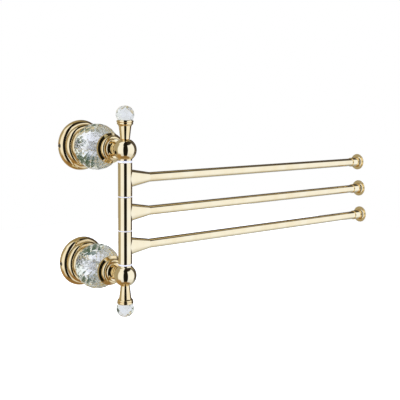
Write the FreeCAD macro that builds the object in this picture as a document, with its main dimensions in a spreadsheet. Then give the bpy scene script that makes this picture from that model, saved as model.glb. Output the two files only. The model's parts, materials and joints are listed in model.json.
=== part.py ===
import FreeCAD, Part
import math
import os
import re

import Sketcher

# A wall-mounted towel holder with three arms that swing about one upright pivot.
#
# Two turned brackets stand out of the wall, one above the other. Each is a stack drawn together
# by a threaded tie rod: a hollow stepped rosette over a screwed-on wall plate, a diamond-cut
# crystal ball, a rimmed collar and a ball-shaped knuckle. A long pivot rod runs through both
# knuckles, and a turned finial with a small cut crystal is screwed on each of its ends. Between
# the knuckles three swivel hubs turn on the rod, kept apart by nylon washers, and each hub
# carries a thin round arm that ends in a disc.
#
# Frame: millimetres, +Z up. The wall is the plane Y = 0, the product stands out towards -Y, and
# the arms lie along +X. The origin is on the wall, midway between the two brackets.

SIZES = (
    # Overall layout
    ("axis_height", 65.0, "height of each bracket's axis above or below the origin"),
    ("pivot_distance", 92.0, "from the wall to the pivot axis"),
    ("arm_reach", 381.5, "from the pivot axis to the end of an arm"),
    ("arm_fan", 0.6, "angle in degrees by which each arm is swung past the one above"),
    # Rosette: three swelling rings, widest first
    ("rosette_back_radius", 23.7, "against the wall"),
    ("rosette_bead_one", 4.35, "swell of the first ring"),
    ("rosette_valley_one_radius", 22.6, "between the first and second ring"),
    ("rosette_valley_one_height", 11.9, "from the wall"),
    ("rosette_bead_two", 2.2, "swell of the second ring"),
    ("rosette_valley_two_radius", 19.1, "between the second and third ring"),
    ("rosette_valley_two_height", 18.8, "from the wall"),
    ("rosette_bead_three", 1.4, "swell of the third ring"),
    ("rosette_face_radius", 15.6, "flat front face"),
    ("rosette_height", 23.2, "from the wall to the front face"),
    ("rosette_lip", 1.2, "width left outside each step of the hollow"),
    ("rosette_wall", 2.3, "thickness of the front wall and of the steps"),
    # Wall plate: a dish that the rosette slides over
    ("plate_clearance", 0.3, "between the wall plate and the rosette"),
    ("plate_floor", 3.0, "thickness of the screwed floor"),
    ("plate_ring", 3.0, "thickness of the upstanding ring"),
    ("plate_height", 9.0, "height of the upstanding ring"),
    ("screw_spacing", 28.0, "between the two wall screws of one plate"),
    ("screw_hole_radius", 2.3, "clearance hole for a wall screw"),
    ("screw_head_radius", 3.9, "mouth of the countersink"),
    ("countersink_depth", 1.6, "depth of the countersink"),
    # Tie rod with its nut and washer
    ("tie_radius", 3.0, "threaded rod"),
    ("tie_clearance", 0.3, "around the rod in the pieces that it passes through"),
    ("thread_fit", 0.05, "around a thread in its nut or tapped hole"),
    ("tie_tail", 2.0, "rod standing out behind the nut"),
    ("nut_corner_radius", 5.77, "across the corners of the hexagon, halved"),
    ("nut_thickness", 5.0, "clamping nut"),
    ("washer_radius", 6.4, "clamping washer"),
    ("washer_thickness", 1.2, "clamping washer"),
    # Crystal ball with its gaskets
    ("rear_gasket", 0.7, "thickness of the gasket behind the ball"),
    ("front_gasket", 0.5, "thickness of the gasket in front of the ball"),
    ("gasket_margin", 0.8, "gasket edge inside the face that it lies on"),
    ("ball_radius", 24.3, "to the middle of the widest facets"),
    ("ball_stretch", 0.96, "length of the uncut ball over its width"),
    ("ball_rear", 14.8, "from the ball's centre to its rear table"),
    ("ball_front", 20.4, "from the ball's centre to its front table"),
    ("ball_columns", 16, "facets in one row around the ball"),
    # Collar: one fat ring between the ball and the knuckle
    ("collar_rear_radius", 11.2, "foot on the ball"),
    ("collar_rear_swell", 1.6, "swell of the cup round the ball"),
    ("collar_rim_radius", 15.8, "widest, at the rim"),
    ("collar_rim_place", 5.7, "foot to the rim"),
    ("collar_rim_width", 0.5, "plain edge of the rim"),
    ("collar_valley_radius", 13.2, "where the rim's face meets the front bead"),
    ("collar_valley_place", 7.9, "foot to the valley"),
    ("collar_front_radius", 10.6, "front edge of the bead"),
    ("collar_bead", 1.25, "swell of the front bead"),
    ("collar_length", 11.4, "along the bracket"),
    # Knuckle: a ball on a ringed neck
    ("knuckle_radius", 11.8, "ball"),
    ("knuckle_seat", 10.8, "from the ball's centre to the seat of the first washer"),
    ("knuckle_flat", 10.2, "from the ball's centre to the seat of the finial"),
    ("neck_groove", 0.7, "length of the groove beside the collar"),
    ("neck_groove_radius", 9.2, "groove beside the collar"),
    ("neck_ring", 2.8, "length of the small ring"),
    ("neck_ring_radius", 9.6, "edges of the small ring"),
    ("neck_ring_bead", 0.9, "swell of the small ring"),
    ("neck_radius", 8.0, "neck behind the small ring"),
    ("neck_flare", 0.8, "how much wider the neck is where it meets the ball"),
    ("neck_hollow", 0.5, "how far the neck draws in between its ends"),
    ("tapped_floor", 2.4, "metal left between the tapped hole and the pivot bore"),
    # Grub screws
    ("grub_radius", 2.0, "headless screw"),
    ("grub_length", 5.0, "headless screw"),
    ("grub_socket_radius", 1.15, "across the corners of the hexagon socket, halved"),
    ("grub_socket_depth", 2.0, "hexagon socket"),
    ("rosette_grub_height", 5.8, "from the wall to the rosette's grub screw"),
    ("knuckle_grub_drop", 2.4, "from the bracket's axis towards the hubs"),
    # Pivot rod and the stack of hubs on it
    ("pivot_radius", 4.0, "rod"),
    ("pivot_fit", 0.05, "around the rod in everything that it passes through"),
    ("pivot_thread", 9.5, "rod standing out of each knuckle into the finial"),
    ("end_play", 0.05, "between each hub and the washers beside it"),
    ("top_washer", 2.2, "thickness of the nylon washer under the upper knuckle"),
    ("middle_washer", 0.8, "thickness of the nylon washers between hubs"),
    ("bottom_washer", 1.4, "thickness of the nylon washer on the lower knuckle"),
    ("washer_inset", 0.15, "nylon washer inside the hub's outline"),
    ("sleeve_radius", 7.25, "hub sleeve and knuckle seat"),
    ("sleeve_chamfer", 0.3, "ends of the hub sleeve"),
    ("bush_radius", 5.6, "outside of a bearing bush"),
    ("bush_length", 9.0, "bearing bush"),
    ("arm_rise", 0.9, "from the hub's middle up to the arm's axis"),
    # Socket that carries the arm
    ("socket_root_height", 10.4, "half height of the socket at the pivot axis"),
    ("socket_root_width", 6.9, "half width of the socket at the pivot axis"),
    ("socket_end_radius", 5.35, "free end of the socket"),
    ("socket_reach", 28.3, "from the pivot axis to the free end of the socket"),
    ("socket_floor", 12.0, "from the pivot axis to the floor of the bore for the arm"),
    # Arm tube and end cap
    ("tube_radius", 5.0, "arm tube"),
    ("tube_wall", 0.8, "arm tube"),
    ("tube_fit", 0.04, "around the tube in the socket and in the end cap"),
    ("tube_gap", 0.4, "between the tube's ends and the floors that it points at"),
    ("cap_length", 17.0, "whole end cap"),
    ("cap_sleeve_radius", 5.9, "sleeve over the tube"),
    ("cap_sleeve_length", 12.0, "from the mouth to the fillet under the disc"),
    ("cap_fillet", 2.0, "between the sleeve and the disc"),
    ("cap_radius", 10.4, "disc"),
    ("cap_rim", 0.9, "thickness of the disc's rounded rim"),
    ("cap_rim_swell", 0.35, "swell of the rim"),
    ("cap_dome_swell", 0.3, "swell of the dome's flank"),
    ("cap_flat_radius", 2.5, "flat left at the top of the dome"),
    ("cap_floor", 4.0, "metal between the tube's bore and the tip of the dome"),
    # Finial
    ("finial_foot_radius", 4.3, "on the knuckle"),
    ("finial_foot_round", 0.9, "height of the rounded foot"),
    ("finial_low_radius", 4.9, "above the rounded foot"),
    ("finial_waist_radius", 5.7, "half way up the stem"),
    ("finial_waist_height", 8.0, "from the knuckle's flat"),
    ("finial_throat_radius", 6.3, "under the flare"),
    ("finial_throat_height", 12.8, "from the knuckle's flat"),
    ("finial_rim_radius", 7.9, "top of the flare"),
    ("finial_flare", 0.35, "how far the flare draws in"),
    ("finial_rim_height", 15.4, "from the knuckle's flat"),
    ("finial_ring", 2.1, "height of each of the two rings of the cup"),
    ("finial_ring_swell", 0.35, "swell of the rings"),
    ("finial_step", 0.35, "how much wider the upper ring is"),
    ("finial_height", 19.6, "from the knuckle's flat to the top of the cup"),
    ("cup_depth", 5.0, "bore for the crystal's spigot"),
    # Finial crystal
    ("gem_radius", 8.9, "to the middle of the widest facets"),
    ("gem_stretch", 1.0, "length of the uncut crystal over its width"),
    ("gem_base", 5.6, "from the crystal's centre to its foot"),
    ("gem_table", 8.9, "from the crystal's centre to the table at its tip"),
    ("gem_columns", 8, "facets in one row around the crystal"),
    ("gem_seat", 0.2, "from the top of the cup to the crystal's foot"),
    ("spigot_radius", 3.0, "under the crystal"),
    ("spigot_fit", 0.1, "around and under the spigot in its cup"),
)
NAMES = {name for name, start, note in SIZES}

# Lengths that follow from the sizes above
CLAMP_FACE = "(rosette_height - rosette_wall)"
BALL_CENTRE = "(rosette_height + rear_gasket + ball_rear)"
COLLAR_START = "(rosette_height + rear_gasket + ball_rear + ball_front + front_gasket)"
KNUCKLE_START = f"(pivot_distance - {COLLAR_START} - collar_length)"
TAPPED_END = "(pivot_radius + pivot_fit + tapped_floor)"
HUB_HEIGHT = (
    "((2 * (axis_height - knuckle_seat) - top_washer - bottom_washer"
    " - 2 * middle_washer - 6 * end_play) / 3)"
)
HUB_PITCH = f"({HUB_HEIGHT} + middle_washer + 2 * end_play)"
STACK_TOP = "(axis_height - knuckle_seat - top_washer - end_play)"
CAP_BORE = "(cap_length - cap_floor)"

# Placements as expressions. What is turned about a bracket's axis has its origin on the wall and
# its local Z out of the wall. A knuckle and its finial have their origin in the knuckle's ball,
# local Y towards the wall and local Z towards the finial, so the lower ones are upside down.
ON_WALL = {
    "upper": "placement(vector(0; 0; axis_height); rotation(vector(1; 0; 0); 90))",
    "lower": "placement(vector(0; 0; -axis_height); rotation(vector(1; 0; 0); 90))",
}
AT_KNUCKLE = {
    "upper": "placement(vector(0; -pivot_distance; axis_height); rotation(vector(0; 1; 0); 0))",
    "lower": "placement(vector(0; -pivot_distance; -axis_height); rotation(vector(0; 1; 0); 180))",
}
ALONG_X = "rotation(vector(0; 1; 0); 90)"
ALONG_Y = "rotation(vector(1; 0; 0); -90)"
UPRIGHT = "rotation(vector(0; 0; 1); 0)"
ARMS = ("top_arm", "middle_arm", "bottom_arm")

document = FreeCAD.newDocument("SwingArmTowelBar")
sheet = document.addObject("Spreadsheet::Sheet", "Sizes")
pieces = []


def bound(expression):
    """Point every size's name in an expression at its cell."""
    return re.sub(
        r"[a-z_]+",
        lambda word: "Sizes." + word.group() if word.group() in NAMES else word.group(),
        expression,
    )


def value(expression):
    """Work an expression out from the sheet."""
    return float(sheet.evalExpression(bound(expression)))


def bind(target, **sizes):
    """Bind properties of an object to expressions."""
    for name, expression in sizes.items():
        target.setExpression(name, bound(expression))


def finish(piece, label, placement):
    """Label a finished piece, place it and keep it for writing out."""
    piece.Label = label
    piece.setExpression("Placement", bound(placement))
    pieces.append(piece)
    return piece


def origin_plane(body, role):
    """Find one of a body's own origin planes."""
    return next(feature for feature in body.Origin.OriginFeatures if feature.Role == role)


def new_sketch(body, name, role, offset=None):
    """Attach an empty sketch to one of the body's origin planes, raised off it if asked."""
    sketch = body.newObject("Sketcher::SketchObject", name)
    sketch.AttachmentSupport = (origin_plane(body, role), [""])
    sketch.MapMode = "FlatFace"
    if offset:
        sketch.setExpression("AttachmentOffset.Base.z", bound(offset))
    return sketch


def arc_radius(start, end, swell):
    """Radius of the arc that joins two points and swells by a given height between them."""
    chord_squared = f"(({end[0]}) - ({start[0]}))^2 + (({end[1]}) - ({start[1]}))^2"
    return f"({chord_squared}) / (8 * abs({swell})) + abs({swell}) / 2"


def fix_coordinate(sketch, kind, axis, edge, corner, expression):
    """Tie one coordinate of an outline's corner to its expression."""
    if expression == "0":
        sketch.addConstraint(Sketcher.Constraint("PointOnObject", edge, corner, axis))
        return
    constraint = Sketcher.Constraint(kind, -1, 1, edge, corner, value(expression))
    index = sketch.addConstraint(constraint)
    sketch.setExpression(f"Constraints[{index}]", bound(expression))


def draw_outline(sketch, points):
    """Draw a closed outline, anticlockwise, with every corner tied to the sheet.

    A point is (across, along) or (across, along, swell). With a swell, the edge that arrives
    there is an arc that stands out of the outline by that height, or into it if negative.
    """
    corners = [FreeCAD.Vector(value(point[0]), value(point[1]), 0) for point in points]
    ends = []
    for index, point in enumerate(points):
        start, end = corners[index - 1], corners[index]
        if len(point) == 2:
            sketch.addGeometry(Part.LineSegment(start, end))
            ends.append((1, 2))
            continue
        swell = value(point[2])
        run = end - start
        outward = FreeCAD.Vector(run.y, -run.x, 0).normalize()
        sketch.addGeometry(Part.Arc(start, (start + end) / 2 + outward * swell, end))
        ends.append((1, 2) if swell > 0 else (2, 1))
    for index, point in enumerate(points):
        following = (index + 1) % len(points)
        join = Sketcher.Constraint("Coincident", index, ends[index][1], following, ends[following][0])
        sketch.addConstraint(join)
        fix_coordinate(sketch, "DistanceX", -2, index, ends[index][1], point[0])
        fix_coordinate(sketch, "DistanceY", -1, index, ends[index][1], point[1])
        if len(point) == 3:
            radius = arc_radius(points[index - 1], point, point[2])
            number = sketch.addConstraint(Sketcher.Constraint("Radius", index, value(radius)))
            sketch.setExpression(f"Constraints[{number}]", bound(radius))


def turn(body, name, points, role="XZ_Plane"):
    """Turn an outline about the upright axis of its sketch."""
    sketch = new_sketch(body, name + "Outline", role)
    draw_outline(sketch, points)
    revolution = body.newObject("PartDesign::Revolution", name)
    revolution.Profile = (sketch, [""])
    revolution.ReferenceAxis = (sketch, ["V_Axis"])
    revolution.Angle = 360
    return revolution


def new_body(label):
    """Start a body named after its piece."""
    return document.addObject("PartDesign::Body", label.title().replace("_", ""))


def turned(label, points, placement):
    """Make a piece that is one turned outline."""
    body = new_body(label)
    turn(body, "Turned", points)
    return finish(body, label, placement)


def ring(label, inner, outer, bottom, top, placement):
    """Make a plain ring about the local Z axis."""
    corners = [(inner, bottom), (outer, bottom), (outer, top), (inner, top)]
    return turned(label, corners, placement)


def rod(label, radius, bottom, top, placement):
    """Make a round rod about the local Z axis, its ends chamfered by a fifth of its radius."""
    chamfer = f"({radius}) / 5"
    points = [
        ("0", bottom),
        (f"({radius}) - {chamfer}", bottom),
        (radius, f"({bottom}) + {chamfer}"),
        (radius, f"({top}) - {chamfer}"),
        (f"({radius}) - {chamfer}", top),
        ("0", top),
    ]
    return turned(label, points, placement)


def drill(body, name, radius, depth, placement):
    """Cut a round hole along the placement's own Z axis."""
    hole = body.newObject("PartDesign::SubtractiveCylinder", name)
    bind(hole, Radius=radius, Height=depth, Placement=placement)
    return hole


def wall_plate(side, place):
    """Dish with two countersunk screw holes, fixed to the wall under the rosette."""
    label = side + "_wall_plate"
    outer = "rosette_back_radius - rosette_lip - plate_clearance"
    inner = f"{outer} - plate_ring"
    body = new_body(label)
    turn(body, "Dish", [
        ("0", "0"),
        (outer, "0"),
        (outer, "plate_height"),
        (inner, "plate_height"),
        (inner, "plate_floor"),
        ("0", "plate_floor"),
    ])
    for name, across in (("Left", "-screw_spacing / 2"), ("Right", "screw_spacing / 2")):
        drill(body, name + "Hole", "screw_hole_radius", "plate_floor",
              f"placement(vector({across}; 0; 0); {UPRIGHT})")
        sink = body.newObject("PartDesign::SubtractiveCone", name + "Countersink")
        bind(
            sink,
            Radius1="screw_hole_radius",
            Radius2="screw_head_radius",
            Height="countersink_depth",
            Placement=f"placement(vector({across}; 0; plate_floor - countersink_depth); {UPRIGHT})",
        )
    return finish(body, label, place)


def rosette(side, place):
    """Hollow cover of three swelling rings, stepped inside like outside."""
    label = side + "_rosette"
    bore = "tie_radius + tie_clearance"
    body = new_body(label)
    turn(body, "Rings", [
        ("rosette_back_radius - rosette_lip", "0"),
        ("rosette_back_radius", "0"),
        ("rosette_valley_one_radius", "rosette_valley_one_height", "rosette_bead_one"),
        ("rosette_valley_two_radius", "rosette_valley_two_height", "rosette_bead_two"),
        ("rosette_face_radius", "rosette_height", "rosette_bead_three"),
        (bore, "rosette_height"),
        (bore, CLAMP_FACE),
        ("rosette_face_radius - rosette_lip", CLAMP_FACE),
        ("rosette_face_radius - rosette_lip", "rosette_valley_two_height - rosette_wall"),
        ("rosette_valley_two_radius - rosette_lip", "rosette_valley_two_height - rosette_wall"),
        ("rosette_valley_two_radius - rosette_lip", "rosette_valley_one_height - rosette_wall"),
        ("rosette_back_radius - rosette_lip", "rosette_valley_one_height - rosette_wall"),
    ])
    outside = (
        "((rosette_back_radius + rosette_valley_one_radius) / 2 + rosette_bead_one + rosette_wall)"
    )
    drill(body, "GrubHole", "grub_radius + thread_fit", outside,
          f"placement(vector(-{outside}; 0; rosette_grub_height); {ALONG_X})")
    return finish(body, label, place)


def grub_screw(label, place):
    """Headless screw along the local Z axis, its point at the origin, its socket at the far end."""
    name = label.title().replace("_", "")
    shank = document.addObject("Part::Cylinder", name + "Shank")
    bind(shank, Radius="grub_radius", Height="grub_length")
    socket = document.addObject("Part::Prism", name + "Socket")
    socket.Polygon = 6
    bind(socket, Circumradius="grub_socket_radius", Height="grub_socket_depth")
    socket.setExpression("Placement.Base.z", bound("grub_length - grub_socket_depth"))
    screw = document.addObject("Part::Cut", name)
    screw.Base = shank
    screw.Tool = socket
    return finish(screw, label, place)


def clamp_nut(side, place):
    """Hexagon nut that draws the whole bracket together from inside the rosette."""
    label = side + "_clamp_nut"
    name = label.title().replace("_", "")
    hexagon = document.addObject("Part::Prism", name + "Hexagon")
    hexagon.Polygon = 6
    bind(hexagon, Circumradius="nut_corner_radius", Height="nut_thickness")
    thread = document.addObject("Part::Cylinder", name + "Thread")
    bind(thread, Radius="tie_radius + thread_fit", Height="nut_thickness")
    nut = document.addObject("Part::Cut", name)
    nut.Base = hexagon
    nut.Tool = thread
    start = f"{CLAMP_FACE} - washer_thickness - nut_thickness"
    return finish(nut, label, f"{place} * placement(vector(0; 0; {start}); {UPRIGHT})")


def facet_rings(columns):
    """Corner rings of a rhombic faceted unit ball, from its widest ring to near its pole.

    Every facet touches the unit sphere at its middle, each row is half a facet round from the
    row below, and four facets meet at every corner. So a corner lies on the middle line of the
    facets below and above it, and the two rows' latitudes lie evenly about the corner's own.
    """
    half_step = math.pi / columns
    lower, middle = -half_step, 0.0
    rings = []
    while middle < math.pi / 2 - half_step:
        a, b = math.cos(middle) * math.cos(half_step), math.sin(middle)
        c, d = math.cos(lower), math.sin(lower)
        cross = a * d - b * c
        radius, height = (d - b) / cross, (a - c) / cross
        rings.append((radius, height))
        lower, middle = middle, 2 * math.atan2(height, radius) - lower
    return rings


def faceted_ball(columns, radius, stretch, bottom, top):
    """Cut a rhombic faceted ball about the Z axis, with a flat table at each end."""
    half_step = math.pi / columns
    upper = facet_rings(columns)
    rings = [(width, -height) for width, height in reversed(upper[1:])] + upper
    widest = len(upper) - 1

    def corner(row, step):
        width, height = rings[row]
        turn_angle = step * half_step
        return FreeCAD.Vector(
            radius * width * math.cos(turn_angle),
            radius * width * math.sin(turn_angle),
            radius * stretch * height,
        )

    def facet(corners):
        return Part.Face(Part.makePolygon(corners + corners[:1]))

    faces = []
    for row in range(1, len(rings) - 1):
        for column in range(columns):
            step = 2 * column + (row - widest) % 2
            left, right = corner(row, step - 1), corner(row, step + 1)
            faces.append(facet([left, corner(row - 1, step), right, corner(row + 1, step)]))
    for pole, row, beyond in ((-1, 1, 0), (1, len(rings) - 2, len(rings) - 1)):
        apex = FreeCAD.Vector(0, 0, pole * radius * stretch)
        for column in range(columns):
            step = 2 * column + (row - widest) % 2
            for side in (-1, 1):
                faces.append(facet([corner(row, step + side), corner(beyond, step), apex]))
    ball = Part.Solid(Part.makeShell(faces))
    slab = Part.makeCylinder(2 * radius, top - bottom, FreeCAD.Vector(0, 0, bottom))
    return ball.common(slab)


def crystal_piece(label, shape, place):
    """Keep a cut crystal, whose facets no sketch can hold, as a piece of its own."""
    crystal = document.addObject("Part::Feature", label.title().replace("_", ""))
    crystal.Shape = shape.removeSplitter()
    return finish(crystal, label, place)


def crystal_ball(side, place):
    """Large diamond-cut ball, bored for the tie rod."""
    bottom, top = -value("ball_rear"), value("ball_front")
    columns = int(value("ball_columns"))
    ball = faceted_ball(columns, value("ball_radius"), value("ball_stretch"), bottom, top)
    bore_radius = value("tie_radius + tie_clearance")
    bore = Part.makeCylinder(bore_radius, top - bottom, FreeCAD.Vector(0, 0, bottom))
    centre = f"{place} * placement(vector(0; 0; {BALL_CENTRE}); {UPRIGHT})"
    return crystal_piece(side + "_crystal_ball", ball.cut(bore), centre)


def collar(side, place):
    """Rimmed ring with a bead in front of its rim, which holds the ball's front."""
    bore = "tie_radius + tie_clearance"
    rim = f"{COLLAR_START} + collar_rim_place"
    end = f"{COLLAR_START} + collar_length"
    return turned(side + "_collar", [
        (bore, COLLAR_START),
        ("collar_rear_radius", COLLAR_START),
        ("collar_rim_radius", rim, "collar_rear_swell"),
        ("collar_rim_radius", f"{rim} + collar_rim_width"),
        ("collar_valley_radius", f"{COLLAR_START} + collar_valley_place"),
        ("collar_front_radius", end, "collar_bead"),
        (bore, end),
    ], place)


def knuckle(side, place):
    """Ball with a seat for the hubs, a flat for the finial and a ringed neck to the collar."""
    label = side + "_knuckle"
    seat_edge = "sqrt(knuckle_radius^2 - sleeve_radius^2)"
    flat_edge = "sqrt(knuckle_radius^2 - knuckle_flat^2)"
    chord = f"((sleeve_radius - {flat_edge})^2 + ({seat_edge} + knuckle_flat)^2)"
    ball_swell = f"(knuckle_radius - sqrt(knuckle_radius^2 - {chord} / 4))"
    body = new_body(label)
    turn(body, "Ball", [
        ("0", "-knuckle_seat"),
        ("sleeve_radius", "-knuckle_seat"),
        ("sleeve_radius", f"-{seat_edge}"),
        (flat_edge, "knuckle_flat", ball_swell),
        ("0", "knuckle_flat"),
    ])
    ring_far = f"{KNUCKLE_START} - neck_groove"
    ring_near = f"{ring_far} - neck_ring"
    neck_end = "(neck_radius + neck_flare)"
    neck_foot = f"sqrt(knuckle_radius^2 - {neck_end}^2)"
    turn(body, "Neck", [
        ("0", TAPPED_END),
        (neck_end, TAPPED_END),
        (neck_end, neck_foot),
        ("neck_radius", ring_near, "-neck_hollow"),
        ("neck_ring_radius", ring_near),
        ("neck_ring_radius", ring_far, "neck_ring_bead"),
        ("neck_groove_radius", ring_far),
        ("neck_groove_radius", KNUCKLE_START),
        ("0", KNUCKLE_START),
    ], "XY_Plane")
    drill(body, "PivotBore", "pivot_radius + pivot_fit", "knuckle_seat + knuckle_flat",
          f"placement(vector(0; 0; -knuckle_seat); {UPRIGHT})")
    drill(body, "TappedHole", "tie_radius + thread_fit", f"{KNUCKLE_START} - {TAPPED_END}",
          f"placement(vector(0; {TAPPED_END}; 0); {ALONG_Y})")
    drill(body, "GrubHole", "grub_radius + thread_fit", "knuckle_radius",
          f"placement(vector(-knuckle_radius; 0; -knuckle_grub_drop); {ALONG_X})")
    return finish(body, label, place)


def finial_stem(side, place):
    """Turned stem that screws on the pivot rod's end and holds the small crystal in its cup."""
    thread = "pivot_radius + pivot_fit"
    bore = "spigot_radius + spigot_fit"
    lower_ring = "knuckle_flat + finial_rim_height + finial_ring"
    top = "knuckle_flat + finial_height"
    return turned(side + "_finial_stem", [
        (thread, "knuckle_flat"),
        ("finial_foot_radius", "knuckle_flat"),
        ("finial_low_radius", "knuckle_flat + finial_foot_round", "finial_foot_round / 8"),
        ("finial_waist_radius", "knuckle_flat + finial_waist_height"),
        ("finial_throat_radius", "knuckle_flat + finial_throat_height"),
        ("finial_rim_radius", "knuckle_flat + finial_rim_height", "-finial_flare"),
        ("finial_rim_radius", lower_ring, "finial_ring_swell"),
        ("finial_rim_radius + finial_step", lower_ring),
        ("finial_rim_radius + finial_step", top, "finial_ring_swell"),
        (bore, top),
        (bore, f"{top} - cup_depth"),
        ("0", f"{top} - cup_depth"),
        ("0", "knuckle_flat + pivot_thread + pivot_fit"),
        (thread, "knuckle_flat + pivot_thread + pivot_fit"),
    ], place)


def finial_crystal(side, place):
    """Small cut crystal on a spigot that is cemented into the finial's cup."""
    foot = value("gem_base")
    columns = int(value("gem_columns"))
    gem = faceted_ball(columns, value("gem_radius"), value("gem_stretch"), -foot, value("gem_table"))
    length = value("cup_depth + gem_seat - spigot_fit")
    start = FreeCAD.Vector(0, 0, -foot - length)
    spigot = Part.makeCylinder(value("spigot_radius"), length, start)
    centre = "knuckle_flat + finial_height + gem_seat + gem_base"
    return crystal_piece(
        side + "_finial_crystal",
        gem.fuse(spigot),
        f"{place} * placement(vector(0; 0; {centre}); {UPRIGHT})",
    )


def bracket(side):
    """Make one wall bracket, from the plate on the wall to the crystal on its finial."""
    from_wall = ON_WALL[side]
    at_ball = AT_KNUCKLE[side]
    passage = "tie_radius + tie_clearance"
    ball_start = "rosette_height + rear_gasket"
    collar_foot = f"{COLLAR_START} - front_gasket"
    wall_plate(side, from_wall)
    rosette(side, from_wall)
    plate_edge = "rosette_back_radius - rosette_lip - plate_clearance"
    grub_screw(
        side + "_rosette_grub_screw",
        f"{from_wall} * placement(vector(-({plate_edge}); 0; rosette_grub_height);"
        " rotation(vector(0; 1; 0); -90))",
    )
    rod(
        side + "_tie_rod",
        "tie_radius",
        f"{CLAMP_FACE} - washer_thickness - nut_thickness - tie_tail",
        f"pivot_distance - {TAPPED_END} - tie_clearance",
        from_wall,
    )
    clamp_nut(side, from_wall)
    ring(side + "_clamp_washer", passage, "washer_radius",
         f"{CLAMP_FACE} - washer_thickness", CLAMP_FACE, from_wall)
    ring(side + "_rear_gasket", passage, "rosette_face_radius - gasket_margin",
         "rosette_height", ball_start, from_wall)
    crystal_ball(side, from_wall)
    ring(side + "_front_gasket", passage, "collar_rear_radius - gasket_margin",
         collar_foot, COLLAR_START, from_wall)
    collar(side, from_wall)
    knuckle(side, at_ball)
    grub_screw(
        side + "_knuckle_grub_screw",
        f"{at_ball} * placement(vector(-pivot_radius; 0; -knuckle_grub_drop);"
        " rotation(vector(0; 1; 0); -90))",
    )
    finial_stem(side, at_ball)
    finial_crystal(side, at_ball)


def pivot_stack():
    """Pivot rod through both knuckles, with the nylon washers between and beside the hubs."""
    on_pivot = f"placement(vector(0; -pivot_distance; 0); {UPRIGHT})"
    reach = "(axis_height + knuckle_flat + pivot_thread)"
    rod("pivot_rod", "pivot_radius", f"-{reach}", reach, on_pivot)
    seat = "(axis_height - knuckle_seat)"
    spans = {"top_washer": (f"{seat} - top_washer", seat)}
    for number, name in enumerate(("upper_middle_washer", "lower_middle_washer"), 1):
        above = f"{STACK_TOP} - {number} * {HUB_PITCH} + middle_washer + end_play"
        spans[name] = (f"{above} - middle_washer", above)
    spans["bottom_washer"] = (f"-{seat}", f"-{seat} + bottom_washer")
    for name, (bottom, top) in spans.items():
        ring(name, "pivot_radius + pivot_fit", "sleeve_radius - washer_inset", bottom, top, on_pivot)


def draw_socket_root(body):
    """Draw the tall oval that the socket grows from, on the pivot axis."""
    sketch = new_sketch(body, "SocketRoot", "YZ_Plane")
    height, width = value("socket_root_height"), value("socket_root_width")
    centre = FreeCAD.Vector(0, 0, 0)
    tip, flank = FreeCAD.Vector(0, height, 0), FreeCAD.Vector(width, 0, 0)
    oval = sketch.addGeometry(Part.Ellipse(tip, flank, centre))
    sketch.exposeInternalGeometry(oval)
    major, minor = oval + 1, oval + 2
    sketch.addConstraint(Sketcher.Constraint("Coincident", oval, 3, -1, 1))
    sketch.addConstraint(Sketcher.Constraint("PointOnObject", major, 1, -2))
    for axis, size in ((major, "2 * socket_root_height"), (minor, "2 * socket_root_width")):
        number = sketch.addConstraint(Sketcher.Constraint("Distance", axis, value(size)))
        sketch.setExpression(f"Constraints[{number}]", bound(size))
    return sketch


def draw_socket_end(body):
    """Draw the circle that the socket ends in."""
    sketch = new_sketch(body, "SocketEnd", "YZ_Plane", "socket_reach")
    radius = value("socket_end_radius")
    axis = FreeCAD.Vector(0, 0, 1)
    circle = sketch.addGeometry(Part.Circle(FreeCAD.Vector(0, 0, 0), axis, radius))
    sketch.addConstraint(Sketcher.Constraint("Coincident", circle, 3, -1, 1))
    number = sketch.addConstraint(Sketcher.Constraint("Radius", circle, radius))
    sketch.setExpression(f"Constraints[{number}]", bound("socket_end_radius"))
    return sketch


def arm_hub(arm, place):
    """Swivel sleeve with a socket that tapers from a tall oval to a round end."""
    label = arm + "_hub"
    bottom = f"-({HUB_HEIGHT} / 2 + arm_rise)"
    top = f"({HUB_HEIGHT} / 2 - arm_rise)"
    body = new_body(label)
    turn(body, "Sleeve", [
        ("0", bottom),
        ("sleeve_radius - sleeve_chamfer", bottom),
        ("sleeve_radius", f"{bottom} + sleeve_chamfer"),
        ("sleeve_radius", f"{top} - sleeve_chamfer"),
        ("sleeve_radius - sleeve_chamfer", top),
        ("0", top),
    ])
    socket = body.newObject("PartDesign::AdditiveLoft", "Socket")
    socket.Profile = (draw_socket_root(body), [""])
    socket.Sections = [(draw_socket_end(body), [""])]
    socket.Ruled = True
    drill(body, "BushBore", "bush_radius", HUB_HEIGHT, f"placement(vector(0; 0; {bottom}); {UPRIGHT})")
    drill(body, "TubeBore", "tube_radius + tube_fit", "socket_reach - socket_floor",
          f"placement(vector(socket_floor; 0; 0); {ALONG_X})")
    return finish(body, label, place)


def end_cap(arm, place):
    """Sleeve over the tube's end, with a disc that keeps towels from slipping off."""
    bore = "tube_radius + tube_fit"
    disc_back = "cap_sleeve_length + cap_fillet"
    rim = "cap_radius - cap_rim_swell"
    start = f"{place} * placement(vector(arm_reach - cap_length; 0; 0); {ALONG_X})"
    return turned(arm + "_end_cap", [
        (bore, "0"),
        ("cap_sleeve_radius", "0"),
        ("cap_sleeve_radius", "cap_sleeve_length"),
        ("cap_sleeve_radius + cap_fillet", disc_back, "-(1 - sqrt(0.5)) * cap_fillet"),
        (rim, disc_back),
        (rim, f"{disc_back} + cap_rim", "cap_rim_swell"),
        ("cap_flat_radius", "cap_length", "cap_dome_swell"),
        ("0", "cap_length"),
        ("0", CAP_BORE),
        (bore, CAP_BORE),
    ], start)


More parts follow.
